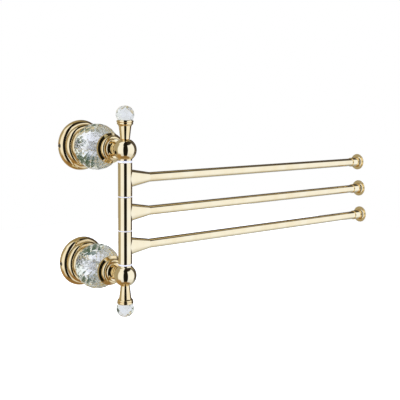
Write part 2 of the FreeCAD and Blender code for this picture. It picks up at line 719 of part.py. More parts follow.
def arm(number, name):
    """Make one arm: hub with its two bushes, tube and end cap."""
    level = f"{STACK_TOP} - {HUB_HEIGHT} / 2 - {number} * {HUB_PITCH} + arm_rise"
    swing = f"(1 - {number}) * arm_fan"
    place = (
        f"placement(vector(0; -pivot_distance; {level}); rotation(vector(0; 0; 1); {swing}))"
    )
    arm_hub(name, place)
    middle = "-arm_rise"
    ends = {
        "lower": (f"{middle} - {HUB_HEIGHT} / 2", f"{middle} - {HUB_HEIGHT} / 2 + bush_length"),
        "upper": (f"{middle} + {HUB_HEIGHT} / 2 - bush_length", f"{middle} + {HUB_HEIGHT} / 2"),
    }
    for end, (bottom, top) in ends.items():
        ring(f"{name}_{end}_bush", "pivot_radius + pivot_fit", "bush_radius", bottom, top, place)
    ring(
        name + "_tube",
        "tube_radius - tube_wall",
        "tube_radius",
        "socket_floor + tube_gap",
        f"arm_reach - cap_length + {CAP_BORE} - tube_gap",
        f"{place} * placement(vector(0; 0; 0); {ALONG_X})",
    )
    end_cap(name, place)


def fill_sheet():
    """Write the driving sizes to the sheet, one named cell each."""
    for row, (name, start, note) in enumerate(SIZES, 1):
        sheet.set(f"A{row}", name)
        sheet.set(f"B{row}", str(start))
        sheet.set(f"C{row}", note)
        sheet.setAlias(f"B{row}", name)
    document.recompute()


def check():
    """Stop if any object failed or any piece isn't one sound solid."""
    for item in document.Objects:
        if "Invalid" in item.State or "Error" in item.State:
            raise RuntimeError(f"{item.Label} failed: {item.State}")
    for piece in pieces:
        shape = piece.Shape
        if shape.isNull() or not shape.isValid() or len(shape.Solids) != 1:
            raise RuntimeError(f"{piece.Label} isn't one sound solid")


fill_sheet()
for side_name in ("upper", "lower"):
    bracket(side_name)
pivot_stack()
for arm_number, arm_name in enumerate(ARMS):
    arm(arm_number, arm_name)
document.recompute()
check()
os.makedirs("parts", exist_ok=True)
for part_piece in pieces:
    part_piece.Shape.exportStep(f"parts/{part_piece.Label}.step")
print(f"{len(pieces)} pieces written")
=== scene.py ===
"""Looks of a wall-mounted swing arm towel bar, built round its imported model.

Pale polished gold covers all that is turned or drawn, the balls and finials are cut crystal, and
white nylon washers part the hubs. Lengths are metres in the model's own frame: the wall is the
plane Y = 0, the product stands out towards -Y, and the arms lie along +X.
"""

from __future__ import annotations

import json
import logging
import math
from collections.abc import Callable
from dataclasses import dataclass
from enum import Enum

import bmesh
import bpy
from mathutils import Matrix, Vector

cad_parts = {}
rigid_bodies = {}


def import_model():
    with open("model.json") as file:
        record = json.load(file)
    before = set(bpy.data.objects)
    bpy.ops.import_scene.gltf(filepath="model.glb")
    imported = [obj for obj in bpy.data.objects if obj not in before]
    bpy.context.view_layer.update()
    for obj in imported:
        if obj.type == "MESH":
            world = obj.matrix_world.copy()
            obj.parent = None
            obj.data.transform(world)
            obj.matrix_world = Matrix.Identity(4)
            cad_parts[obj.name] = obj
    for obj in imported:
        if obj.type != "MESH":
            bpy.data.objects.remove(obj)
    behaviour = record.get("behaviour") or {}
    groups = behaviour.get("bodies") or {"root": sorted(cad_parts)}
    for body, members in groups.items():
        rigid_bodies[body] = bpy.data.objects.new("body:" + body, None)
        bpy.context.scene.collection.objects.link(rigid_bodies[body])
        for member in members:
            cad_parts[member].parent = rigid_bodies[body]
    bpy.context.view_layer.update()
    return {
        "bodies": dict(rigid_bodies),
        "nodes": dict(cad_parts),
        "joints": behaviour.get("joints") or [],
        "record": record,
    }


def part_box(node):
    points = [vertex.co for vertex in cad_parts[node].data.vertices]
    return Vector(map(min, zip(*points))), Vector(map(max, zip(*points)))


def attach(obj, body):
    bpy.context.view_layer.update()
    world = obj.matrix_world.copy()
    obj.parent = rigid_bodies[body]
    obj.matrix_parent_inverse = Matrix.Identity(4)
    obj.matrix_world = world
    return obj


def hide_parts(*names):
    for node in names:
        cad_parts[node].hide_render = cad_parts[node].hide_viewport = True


LOG = logging.getLogger("towel_bar")
MM = 0.001
Colour = tuple[float, float, float]
Turn = tuple[float, float, float]
Point = tuple[float, float, float]
Stops = list[tuple[float, Colour]]
NONE: Colour = (0.0, 0.0, 0.0)
FULL: Colour = (1.0, 1.0, 1.0)


class Side(Enum):
    """Which of the two wall brackets."""

    UPPER = "upper"
    LOWER = "lower"


class Arm(Enum):
    """Which of the three swinging arms."""

    TOP = "top_arm"
    MIDDLE = "middle_arm"
    BOTTOM = "bottom_arm"


class Axis(Enum):
    """Line about which a piece was turned and polished."""

    ALONG_ARM = (1.0, 0.0, 0.0)
    OFF_WALL = (0.0, 1.0, 0.0)
    UPRIGHT = (0.0, 0.0, 1.0)

    @property
    def turn(self) -> Turn:
        """Rotation that lays an upright primitive along this axis."""
        quarter = math.pi / 2
        return {
            Axis.ALONG_ARM: (0.0, quarter, 0.0),
            Axis.OFF_WALL: (quarter, 0.0, 0.0),
            Axis.UPRIGHT: (0.0, 0.0, 0.0),
        }[self]


# ---------------------------------------------------------------------------------- bench tools


def open_piece(piece: bpy.types.Object) -> None:
    """Open one piece alone for editing, with nothing selected in it.

    Args:
        piece: the piece.
    """
    bpy.ops.object.select_all(action="DESELECT")
    piece.select_set(True)
    bpy.context.view_layer.objects.active = piece
    bpy.ops.object.mode_set(mode="EDIT")
    bpy.ops.mesh.select_all(action="DESELECT")


def pick_faces(piece: bpy.types.Object, wanted: Callable[[bmesh.types.BMFace], bool]) -> None:
    """Select the faces of the open piece that pass a test.

    Args:
        piece: the piece that is open for editing.
        wanted: test of one face.
    """
    bpy.ops.mesh.select_mode(type="FACE")
    mesh = bmesh.from_edit_mesh(piece.data)
    for face in mesh.faces:
        face.select_set(wanted(face))
    bmesh.update_edit_mesh(piece.data)


def close_piece(piece: bpy.types.Object) -> None:
    """Leave editing and put the piece's place into its mesh.

    Args:
        piece: the piece that is open for editing.
    """
    bpy.ops.object.mode_set(mode="OBJECT")
    bpy.ops.object.transform_apply(location=True, rotation=True, scale=True)
    bpy.ops.object.select_all(action="DESELECT")


def merged_copy(node: bpy.types.Object, name: str, reach: float) -> bpy.types.Object:
    """Copy a CAD node's mesh into a new piece and merge its loose triangles.

    Args:
        node: the carried-over CAD node.
        name: the new piece's name.
        reach: how close two corners lie that are one.

    Returns:
        The piece, open for editing, with all of it selected.
    """
    piece = bpy.data.objects.new(name, node.data.copy())
    bpy.context.scene.collection.objects.link(piece)
    open_piece(piece)
    bpy.ops.mesh.customdata_custom_splitnormals_clear()
    bpy.ops.mesh.select_all(action="SELECT")
    bpy.ops.mesh.remove_doubles(threshold=reach)
    return piece


def work_in(piece: bpy.types.Object, modifier: bpy.types.Modifier) -> None:
    """Work a modifier into the mesh and leave the piece selected.

    Args:
        piece: the piece.
        modifier: its modifier.
    """
    piece.select_set(True)
    bpy.context.view_layer.objects.active = piece
    bpy.ops.object.modifier_apply(modifier=modifier.name)


def middle(node: str) -> Vector:
    """Return the middle of a CAD node's box."""
    low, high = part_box(node)
    return (low + high) / 2


def dress(piece: bpy.types.Object, material: bpy.types.Material) -> None:
    """Give a piece one material.

    Args:
        piece: the piece, or a carried-over CAD node.
        material: its new material.
    """
    piece.data.materials.clear()
    piece.data.materials.append(material)
    LOG.info("%s is dressed in %s", piece.name, material.name)


# ------------------------------------------------------------------------------------- finishes


class NodeGroup:
    """A shader node group that is built once and shared."""

    name: str = ""

    @classmethod
    def get(cls) -> bpy.types.NodeTree:
        """Return the group, built on first use."""
        return bpy.data.node_groups.get(cls.name) or cls.build()

    @classmethod
    def build(cls) -> bpy.types.NodeTree:
        """Build the group.

        Returns:
            The new group.
        """
        raise NotImplementedError

    @classmethod
    def start(cls, inputs: dict[str, tuple[str, object]],
              outputs: dict[str, str]) -> tuple[bpy.types.NodeTree, bpy.types.Node, bpy.types.Node]:
        """Start an empty group with its sockets.

        Args:
            inputs: type and default of each input, by name.
            outputs: type of each output, by name.

        Returns:
            The group, its input node and its output node.
        """
        group = bpy.data.node_groups.new(cls.name, "ShaderNodeTree")
        for name, (kind, start) in inputs.items():
            made = group.interface.new_socket(name, in_out="INPUT", socket_type=kind)
            made.default_value = start
        for name, kind in outputs.items():
            group.interface.new_socket(name, in_out="OUTPUT", socket_type=kind)
        return group, group.nodes.new("NodeGroupInput"), group.nodes.new("NodeGroupOutput")

    @classmethod
    def place(cls, tree: bpy.types.NodeTree, **values: object) -> bpy.types.Node:
        """Put the group into a material.

        Args:
            tree: the material's node tree.
            values: input values, by socket name with spaces as underscores.

        Returns:
            The group's node.
        """
        node = tree.nodes.new("ShaderNodeGroup")
        node.node_tree = cls.get()
        for name, value in values.items():
            node.inputs[name.replace("_", " ")].default_value = value
        return node


class LatheMarks(NodeGroup):
    """Fine rings that turning and wheel polishing leave round a piece."""

    name: str = "lathe_marks"
    detail: float = 2.0

    @classmethod
    def build(cls) -> bpy.types.NodeTree:
        """Build the group.

        Returns:
            The new group.
        """
        group, entry, leave = cls.start(
            {"Vector": ("NodeSocketVector", (0.0, 0.0, 0.0)),
             "Axis": ("NodeSocketVector", (0.0, 0.0, 1.0)),
             "Pitch": ("NodeSocketFloat", 3000.0)},
            {"Marks": "NodeSocketFloat"},
        )
        nodes, links = group.nodes, group.links

        def vector_step(way: str) -> bpy.types.Node:
            """Add a step of vector arithmetic.

            Args:
                way: the operation.

            Returns:
                The step's node.
            """
            step = nodes.new("ShaderNodeVectorMath")
            step.operation = way
            return step

        along = vector_step("DOT_PRODUCT")
        links.new(entry.outputs["Vector"], along.inputs[0])
        links.new(entry.outputs["Axis"], along.inputs[1])
        foot = vector_step("SCALE")
        links.new(entry.outputs["Axis"], foot.inputs[0])
        links.new(along.outputs["Value"], foot.inputs["Scale"])
        outward = vector_step("SUBTRACT")
        links.new(entry.outputs["Vector"], outward.inputs[0])
        links.new(foot.outputs["Vector"], outward.inputs[1])
        radius = vector_step("LENGTH")
        links.new(outward.outputs["Vector"], radius.inputs[0])
        ring = nodes.new("ShaderNodeCombineXYZ")
        links.new(along.outputs["Value"], ring.inputs["X"])
        links.new(radius.outputs["Value"], ring.inputs["Y"])
        noise = nodes.new("ShaderNodeTexNoise")
        noise.inputs["Detail"].default_value = cls.detail
        links.new(ring.outputs["Vector"], noise.inputs["Vector"])
        links.new(entry.outputs["Pitch"], noise.inputs["Scale"])
        links.new(noise.outputs["Fac"], leave.inputs["Marks"])
        return group


class HandlingHaze(NodeGroup):
    """Faint clouds of fingerprints and dried water on a polished or moulded surface."""

    name: str = "handling_haze"
    cloud_detail: float = 3.0
    thin_cloud: float = 0.35
    full_cloud: float = 0.68
    drop_edge: float = 0.28
    drop_heart: float = 0.16

    @classmethod
    def build(cls) -> bpy.types.NodeTree:
        """Build the group.

        Returns:
            The new group.
        """
        group, entry, leave = cls.start(
            {"Vector": ("NodeSocketVector", (0.0, 0.0, 0.0)),
             "Cloud Scale": ("NodeSocketFloat", 70.0),
             "Spot Scale": ("NodeSocketFloat", 520.0)},
            {"Haze": "NodeSocketFloat", "Spots": "NodeSocketFloat"},
        )
        nodes, links = group.nodes, group.links
        cloud = nodes.new("ShaderNodeTexNoise")
        cloud.inputs["Detail"].default_value = cls.cloud_detail
        links.new(entry.outputs["Vector"], cloud.inputs["Vector"])
        links.new(entry.outputs["Cloud Scale"], cloud.inputs["Scale"])
        spread = nodes.new("ShaderNodeMapRange")
        spread.inputs["From Min"].default_value = cls.thin_cloud
        spread.inputs["From Max"].default_value = cls.full_cloud
        links.new(cloud.outputs["Fac"], spread.inputs["Value"])
        links.new(spread.outputs["Result"], leave.inputs["Haze"])
        drops = nodes.new("ShaderNodeTexVoronoi")
        links.new(entry.outputs["Vector"], drops.inputs["Vector"])
        links.new(entry.outputs["Spot Scale"], drops.inputs["Scale"])
        rim = nodes.new("ShaderNodeMapRange")
        rim.inputs["From Min"].default_value = cls.drop_edge
        rim.inputs["From Max"].default_value = cls.drop_heart
        links.new(drops.outputs["Distance"], rim.inputs["Value"])
        links.new(rim.outputs["Result"], leave.inputs["Spots"])
        return group


@dataclass(frozen=True)
class Finish:
    """Two close tones, a range of roughness, the tool's marks and the haze of handling.

    The depth is the marks' real relief. Pitch and cloud_scale count marks and clouds in a metre.
    """

    name: str
    tone: Colour
    shade: Colour
    smooth: float
    rough: float
    depth: float = 0.01 * MM
    pitch: float = 3000.0
    cloud_scale: float = 70.0

    def make(self, axis: Axis, centre: Vector, label: str) -> bpy.types.Material:
        """Build the material for pieces that were turned about one line.

        Args:
            axis: the line's direction.
            centre: a point on the line.
            label: what sets this copy's name apart.

        Returns:
            The material.
        """
        material = bpy.data.materials.new(f"{self.name}_{label}")
        material.use_nodes = True
        tree = material.node_tree
        shader = tree.nodes["Principled BSDF"]
        spot = tree.nodes.new("ShaderNodeTexCoord")
        shift = tree.nodes.new("ShaderNodeMapping")
        shift.inputs["Location"].default_value = -centre
        tree.links.new(spot.outputs["Object"], shift.inputs["Vector"])
        marks = LatheMarks.place(tree, Axis=axis.value, Pitch=self.pitch)
        haze = HandlingHaze.place(tree, Cloud_Scale=self.cloud_scale)
        for node in (marks, haze):
            tree.links.new(shift.outputs["Vector"], node.inputs["Vector"])
        self._tones(tree, shader, haze.outputs["Haze"])
        self._gloss(tree, shader, self.wear(tree, marks, haze))
        self._relief(tree, shader, marks.outputs["Marks"])
        self.set_constants(shader)
        return material

    def wear(self, tree: bpy.types.NodeTree, marks: bpy.types.Node,
             haze: bpy.types.Node) -> bpy.types.NodeSocket:
        """Choose what makes the surface rough.

        Args:
            tree: the material's node tree.
            marks: the tool's marks.
            haze: the haze of handling.

        Returns:
            Socket with the share of the rough end.
        """
        raise NotImplementedError

    def set_constants(self, shader: bpy.types.Node) -> None:
        """Set what is the same all over the surface, which is nothing unless a finish says so.

        Args:
            shader: the material's Principled BSDF.
        """

    def _tones(self, tree: bpy.types.NodeTree, shader: bpy.types.Node,
               share: bpy.types.NodeSocket) -> None:
        """Blend the two tones into the base colour.

        Args:
            tree: the material's node tree.
            shader: its Principled BSDF.
            share: socket with the share of the shade.
        """
        blend = tree.nodes.new("ShaderNodeMix")
        blend.data_type = "RGBA"
        blend.inputs["A"].default_value = (*self.tone, 1.0)
        blend.inputs["B"].default_value = (*self.shade, 1.0)
        tree.links.new(share, blend.inputs["Factor"])
        tree.links.new(blend.outputs["Result"], shader.inputs["Base Color"])

    def _gloss(self, tree: bpy.types.NodeTree, shader: bpy.types.Node,
               share: bpy.types.NodeSocket) -> None:
        """Spread the roughness between its two ends.

        Args:
            tree: the material's node tree.
            shader: its Principled BSDF.
            share: socket with the share of the rough end.
        """
        spread = tree.nodes.new("ShaderNodeMapRange")
        spread.inputs["To Min"].default_value = self.smooth
        spread.inputs["To Max"].default_value = self.rough
        tree.links.new(share, spread.inputs["Value"])
        tree.links.new(spread.outputs["Result"], shader.inputs["Roughness"])

    def _relief(self, tree: bpy.types.NodeTree, shader: bpy.types.Node,
                height: bpy.types.NodeSocket) -> None:
        """Raise the tool's marks on the surface.

        Args:
            tree: the material's node tree.
            shader: its Principled BSDF.
            height: socket with the height from 0 to 1.
        """
        bump = tree.nodes.new("ShaderNodeBump")
        bump.inputs["Distance"].default_value = self.depth
        tree.links.new(height, bump.inputs["Height"])
        tree.links.new(bump.outputs["Normal"], shader.inputs["Normal"])


@dataclass(frozen=True)
class TurnedMetal(Finish):
    """Bare or plated metal turned on a lathe, then polished or only cleaned."""

    spot_share: float = 0.35

    def wear(self, tree: bpy.types.NodeTree, marks: bpy.types.Node,
             haze: bpy.types.Node) -> bpy.types.NodeSocket:
        """Let haze and dried drops dull the metal.

        Args:
            tree: the material's node tree.
            marks: the tool's marks, not used here.
            haze: the haze of handling.

        Returns:
            Socket with the share of the rough end.
        """
        both = tree.nodes.new("ShaderNodeMath")
        both.operation = "MULTIPLY_ADD"
        both.use_clamp = True
        both.inputs[1].default_value = self.spot_share
        tree.links.new(haze.outputs["Spots"], both.inputs[0])
        tree.links.new(haze.outputs["Haze"], both.inputs[2])
        return both.outputs["Value"]

    def set_constants(self, shader: bpy.types.Node) -> None:
        """Make the surface metal."""
        shader.inputs["Metallic"].default_value = 1.0


@dataclass(frozen=True)
class CutGlass(Finish):
    """Clear crystal with polished facets, or with ground ones where it is rough."""

    depth: float = 0.004 * MM
    pitch: float = 400.0
    cloud_scale: float = 90.0
    index: float = 1.54

    def wear(self, tree: bpy.types.NodeTree, marks: bpy.types.Node,
             haze: bpy.types.Node) -> bpy.types.NodeSocket:
        """Return the dried drops, which alone dull the crystal."""
        return haze.outputs["Spots"]

    def set_constants(self, shader: bpy.types.Node) -> None:
        """Let light through and bend it as lead crystal does."""
        shader.inputs["IOR"].default_value = self.index
        shader.inputs["Transmission Weight"].default_value = 1.0


@dataclass(frozen=True)
class MouldedPlastic(Finish):
    """Dense white plastic with a fine grain."""

    pitch: float = 2200.0
    cloud_scale: float = 260.0

    def wear(self, tree: bpy.types.NodeTree, marks: bpy.types.Node,
             haze: bpy.types.Node) -> bpy.types.NodeSocket:
        """Return the tool's marks, which alone dull the plastic."""
        return marks.outputs["Marks"]


# A deeper, more saturated copy of the same gold plating: the amber reflections of the crystal ball
# on the bracket's turned pieces are painted into its colour.
REFLECTION_TINTED_GOLD = TurnedMetal(
    name="gold_with_painted_reflection", tone=(0.86, 0.67, 0.35), shade=(0.83, 0.61, 0.28),
    smooth=0.02, rough=0.06, depth=0.0006 * MM)
PALE_GOLD = TurnedMetal(
    name="pale_gold", tone=(0.88, 0.72, 0.42), shade=(0.85, 0.67, 0.36),
    smooth=0.02, rough=0.06, depth=0.0006 * MM)
ZINC_STEEL = TurnedMetal(
    name="zinc_steel", tone=(0.66, 0.66, 0.67), shade=(0.52, 0.53, 0.55),
    smooth=0.22, rough=0.38, pitch=1500.0)
DARK_STEEL = TurnedMetal(
    name="dark_steel", tone=(0.30, 0.28, 0.25), shade=(0.18, 0.17, 0.15),
    smooth=0.25, rough=0.42, pitch=1500.0)
SILVERED = TurnedMetal(
    name="silvered_gasket", tone=(0.93, 0.93, 0.97), shade=(0.84, 0.85, 0.90),
    smooth=0.12, rough=0.30, depth=0.004 * MM, pitch=1200.0)
CRYSTAL = CutGlass(
    name="cut_crystal", tone=(0.97, 0.98, 1.0), shade=(0.95, 0.96, 0.98),
    smooth=0.0, rough=0.02)
ARRIS = CutGlass(
    name="ground_arris", tone=(0.97, 0.98, 1.0), shade=(0.92, 0.93, 0.96),
    smooth=0.35, rough=0.5)
NYLON = MouldedPlastic(
    name="white_nylon", tone=(0.82, 0.81, 0.86), shade=(0.76, 0.75, 0.81),
    smooth=0.30, rough=0.45)


# --------------------------------------------------------------------------------------- pieces


@dataclass
class Washer:
    """Flat ring with softened edges that replaces a plain one.

    The bore is a radius. Corners sharper than least_corner degrees are softened, and edges
    flatter than smooth_below degrees are smooth.
    """

    node: str
    bore: float
    axis: Axis
    finish: Finish
    slack: float = 0.0
    edge: float = 0.12 * MM
    edge_steps: int = 3
    sides: int = 96
    least_corner: float = 60.0
    smooth_below: float = 40.0

    def build(self, body: str) -> bpy.types.Object:
        """Turn the ring, round its edges and put it in the plain one's place.

        Args:
            body: the body that it rides on.

        Returns:
            The piece.
        """
        low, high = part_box(self.node)
        size = high - low
        thickness = size.dot(Vector(self.axis.value)) - 2 * self.slack
        outer = max(size) / 2
        bpy.ops.object.select_all(action="DESELECT")
        bpy.ops.mesh.primitive_cylinder_add(
            vertices=self.sides, radius=outer, depth=thickness, location=(low + high) / 2,
            rotation=self.axis.turn)
        piece = bpy.context.object
        piece.name = f"{self.node}_ring"
        open_piece(piece)
        pick_faces(piece, lambda face: len(face.verts) == self.sides)
        bpy.ops.mesh.inset(thickness=outer - self.bore)
        bpy.ops.mesh.bridge_edge_loops()
        bpy.ops.mesh.select_all(action="DESELECT")
        bpy.ops.mesh.edges_select_sharp(sharpness=math.radians(self.least_corner))
        bpy.ops.mesh.bevel(offset=self.edge, segments=self.edge_steps, affect="EDGES")
        bpy.ops.mesh.select_all(action="SELECT")
        bpy.ops.mesh.normals_make_consistent(inside=False)
        close_piece(piece)
        piece.select_set(True)
        bpy.ops.object.shade_smooth_by_angle(angle=math.radians(self.smooth_below))
        piece.select_set(False)
        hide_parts(self.node)
        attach(piece, body)
        dress(piece, self.finish.make(self.axis, (low + high) / 2, self.node))
        return piece


@dataclass
class Crystal:
    """Cut crystal whose facets meet in fine ground edges, in place of the sharp one.

    Angles are degrees between faces: facets flatter than flatness are one, and edges from
    least_corner on are ground.
    """

    node: str
    axis: Axis
    arris: float
    reach: float = 0.002 * MM
    flatness: float = 0.6
    least_corner: float = 8.0

    def build(self, body: str, frame: dict) -> bpy.types.Object:
        """Merge the facets' loose triangles and grind their edges.

        Args:
            body: the body that it rides on.

        Returns:
            The piece.
        """
        piece = merged_copy(frame["nodes"][self.node], f"{self.node}_cut", self.reach)
        bpy.ops.mesh.dissolve_limited(angle_limit=math.radians(self.flatness))
        close_piece(piece)
        bevel = piece.modifiers.new("arris", "BEVEL")
        bevel.width, bevel.segments, bevel.material = self.arris, 1, 1
        bevel.limit_method, bevel.angle_limit = "ANGLE", math.radians(self.least_corner)
        work_in(piece, bevel)
        bpy.ops.object.shade_flat()
        piece.select_set(False)
        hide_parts(self.node)
        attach(piece, body)
        dress(piece, CRYSTAL.make(self.axis, middle(self.node), self.node))
        piece.data.materials.append(ARRIS.make(self.axis, middle(self.node), self.node))
        return piece


@dataclass
class Rosette:
    """Ringed cover whose grub screw sits in a wide polished countersink.

    The mouth and the foot are radii, and edges flatter than smooth_below degrees are smooth.
    """

    node: str
    screw: str
    reach: float = 0.001 * MM
    smooth_below: float = 28.0
    mouth: float = 3.5 * MM
    foot: float = 2.05 * MM
    depth: float = 1.6 * MM
    overshoot: float = 0.5 * MM
    sides: int = 64

    def build(self, body: str, frame: dict, material: bpy.types.Material) -> bpy.types.Object:
        """Merge the cover's loose triangles and countersink it round the screw.

        Args:
            body: the body that it rides on.
            material: its finish.

        Returns:
            The piece.
        """
        piece = merged_copy(frame["nodes"][self.node], f"{self.node}_cover", self.reach)
        close_piece(piece)
        cutter = self._cutter()
        sink = piece.modifiers.new("countersink", "BOOLEAN")
        sink.operation, sink.object, sink.solver = "DIFFERENCE", cutter, "EXACT"
        work_in(piece, sink)
        bpy.ops.object.shade_smooth_by_angle(angle=math.radians(self.smooth_below))
        piece.select_set(False)
        bpy.data.objects.remove(cutter)
        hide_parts(self.node)
        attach(piece, body)
        dress(piece, material)
        return piece

    def _cutter(self) -> bpy.types.Object:
        """Shape the cone that cuts the countersink.

        Returns:
            The cone, which opens away from the bracket's axis.
        """
        low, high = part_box(self.screw)
        face = Vector((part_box(self.node)[0].x, (low.y + high.y) / 2, (low.z + high.z) / 2))
        slope = (self.mouth - self.foot) / self.depth
        length = self.depth + self.overshoot
        bpy.ops.object.select_all(action="DESELECT")
        bpy.ops.mesh.primitive_cone_add(
            vertices=self.sides, radius1=self.mouth + slope * self.overshoot, radius2=self.foot,
            depth=length, location=face + Vector((length / 2 - self.overshoot, 0.0, 0.0)),
            rotation=Axis.ALONG_ARM.turn)
        cutter = bpy.context.object
        cutter.name = "countersink"
        bpy.ops.object.select_all(action="DESELECT")
        return cutter


@dataclass
class WallBracket:
    """One stack from the wall to the knuckle, with its finial."""

    side: Side
    frame: dict
    body: str = "brackets"
    bore_slack: float = 0.3 * MM
    gasket_slack: float = 0.04 * MM
    ball_arris: float = 0.35 * MM
    finial_arris: float = 0.10 * MM

    def build(self) -> None:
        """Make and dress the bracket's pieces."""
        LOG.info("%s bracket", self.side.value)
        self._gaskets()
        self._crystals()
        self._plated()
        self._fixings()

    def _name(self, piece: str) -> str:
        """Return the CAD node's name on this side."""
        return f"{self.side.value}_{piece}"

    def _gaskets(self) -> None:
        """Make the two silvered gaskets that hold the ball and throw its light back."""
        low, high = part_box(self._name("tie_rod"))
        bore = (high.x - low.x) / 2 + self.bore_slack
        for piece in ("rear_gasket", "front_gasket"):
            Washer(self._name(piece), bore, Axis.OFF_WALL, SILVERED,
                   self.gasket_slack).build(self.body)

    def _crystals(self) -> None:
        """Make the ball and the finial's crystal."""
        for piece, axis, arris in (("crystal_ball", Axis.OFF_WALL, self.ball_arris),
                                   ("finial_crystal", Axis.UPRIGHT, self.finial_arris)):
            Crystal(self._name(piece), axis, arris).build(self.body, self.frame)

    def _plated(self) -> None:
        """Dress the gold-plated pieces: the rosette, collar and finial stem take the gold copy with
        painted amber reflection, the knuckle the plating's own tone.
        """
        out_of_wall = REFLECTION_TINTED_GOLD.make(Axis.OFF_WALL, middle(self._name("tie_rod")),
                                     self._name("rings"))
        centre = middle(self._name("finial_stem"))
        knuckle = PALE_GOLD.make(Axis.UPRIGHT, centre, self._name("knuckle"))
        stem = REFLECTION_TINTED_GOLD.make(Axis.UPRIGHT, centre, self._name("stem"))
        Rosette(self._name("rosette"), self._name("rosette_grub_screw")).build(
            self.body, self.frame, out_of_wall)
        for piece, material in (("collar", out_of_wall), ("knuckle", knuckle),
                                ("finial_stem", stem)):
            dress(self.frame["nodes"][self._name(piece)], material)

    def _fixings(self) -> None:
        """Dress the wall plate, the clamp and the grub screws."""
        centre = middle(self._name("tie_rod"))
        steel = ZINC_STEEL.make(Axis.OFF_WALL, centre, self._name("clamp"))
        for piece in ("wall_plate", "clamp_nut", "clamp_washer", "tie_rod"):
            dress(self.frame["nodes"][self._name(piece)], steel)
        for piece in ("rosette_grub_screw", "knuckle_grub_screw"):
            node = self._name(piece)
            dress(self.frame["nodes"][node],
                  DARK_STEEL.make(Axis.ALONG_ARM, middle(node), node))


@dataclass
class PivotPost:
    """The long pivot rod and the washers between the hubs."""

    frame: dict
    body: str = "brackets"
    bore_slack: float = 0.1 * MM

    def build(self) -> None:
        """Make and dress the post's pieces."""
        LOG.info("pivot post")
        low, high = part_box("pivot_rod")
        dress(self.frame["nodes"]["pivot_rod"],
              ZINC_STEEL.make(Axis.UPRIGHT, (low + high) / 2, "pivot_rod"))
        bore = (high.x - low.x) / 2 + self.bore_slack
        for node in ("top_washer", "upper_middle_washer", "lower_middle_washer",
                     "bottom_washer"):
            Washer(node, bore, Axis.UPRIGHT, NYLON).build(self.body)


@dataclass
class SwingArm:
    """One arm with its hub, bushes, tube and end cap."""

    arm: Arm
    frame: dict

    def build(self) -> None:
        """Dress the arm's pieces."""
        LOG.info("%s", self.arm.value)
        name = self.arm.value
        nodes = self.frame["nodes"]
        hub, tube = f"{name}_hub", f"{name}_tube"
        dress(nodes[hub], PALE_GOLD.make(Axis.UPRIGHT, middle(f"{name}_upper_bush"), hub))
        drawn = PALE_GOLD.make(Axis.ALONG_ARM, middle(tube), name)
        for piece in (tube, f"{name}_end_cap"):
            dress(nodes[piece], drawn)
        bush = NYLON.make(Axis.UPRIGHT, middle(f"{name}_upper_bush"), f"{name}_bush")
        for piece in ("upper_bush", "lower_bush"):
            dress(nodes[f"{name}_{piece}"], bush)


# --------------------------------------------------------------------------------------- studio


@dataclass
class WorldPainter:
    """Paints the surroundings that metal mirrors and crystal shows.

    Angles are degrees: azimuths to the right of the way to the camera, elevations above level.
    """

    tree: bpy.types.NodeTree
    camera_side: float

    def even(self, light: Colour) -> bpy.types.NodeSocket:
        """Make an even light.

        Args:
            light: its colour.

        Returns:
            Socket with the light.
        """
        node = self.tree.nodes.new("ShaderNodeRGB")
        node.outputs[0].default_value = (*light, 1.0)
        return node.outputs[0]

    def spread(self, source: bpy.types.NodeSocket, half: float) -> bpy.types.NodeSocket:
        """Bring an angle between -half and half to the range 0 to 1.

        Args:
            source: socket with the angle.
            half: the widest angle, in radians.

        Returns:
            Socket with the place from 0 to 1.
        """
        spread = self.tree.nodes.new("ShaderNodeMapRange")
        spread.inputs["From Min"].default_value = -half
        spread.inputs["From Max"].default_value = half
        self.tree.links.new(source, spread.inputs["Value"])
        return spread.outputs["Result"]

    def maths(self, way: str, *sources: bpy.types.NodeSocket) -> bpy.types.NodeSocket:
        """Add a step of arithmetic.

        Args:
            way: the operation.
            sources: sockets with its values.

        Returns:
            Socket with the result.
        """
        step = self.tree.nodes.new("ShaderNodeMath")
        step.operation = way
        for source, entry in zip(sources, step.inputs):
            self.tree.links.new(source, entry)
        return step.outputs["Value"]

    def mix(self, way: str, first: bpy.types.NodeSocket, second: bpy.types.NodeSocket,
            share: bpy.types.NodeSocket | None = None) -> bpy.types.NodeSocket:
        """Mix two colours.

        Args:
            way: the blend type.
            first: the first colour.
            second: the second colour.
            share: the second one's share, held at 1 above 1, which is 1 where left out.

        Returns:
            Socket with the mixed colour.
        """
        mix = self.tree.nodes.new("ShaderNodeMix")
        mix.data_type, mix.blend_type = "RGBA", way
        mix.inputs["Factor"].default_value = 1.0
        if share is not None:
            self.tree.links.new(share, mix.inputs["Factor"])
        self.tree.links.new(first, mix.inputs["A"])
        self.tree.links.new(second, mix.inputs["B"])
        return mix.outputs["Result"]

    def ramp(self, source: bpy.types.NodeSocket, stops: Stops) -> bpy.types.NodeSocket:
        """Add a colour ramp.

        Args:
            source: socket with the place from 0 to 1.
            stops: places and lights, in order.

        Returns:
            Socket with the ramp's colour.
        """
        ramp = self.tree.nodes.new("ShaderNodeValToRGB")
        self.tree.links.new(source, ramp.inputs["Fac"])
        elements = ramp.color_ramp.elements
        while len(elements) > 1:
            elements.remove(elements[-1])
        elements[0].position = stops[0][0]
        elements[0].color = (*stops[0][1], 1.0)
        for where, light in stops[1:]:
            elements.new(where).color = (*light, 1.0)
        return ramp.outputs["Color"]

    def round_about(self, stops: Stops) -> Stops:
        """Turn azimuths into places on the ramp, in order."""
        return sorted(((self.camera_side + angle + 180.0) % 360.0 / 360.0, light)
                      for angle, light in stops)

    def up_and_down(self, stops: Stops) -> Stops:
        """Turn elevations into places on the ramp."""
        return [((angle + 90.0) / 180.0, light) for angle, light in stops]


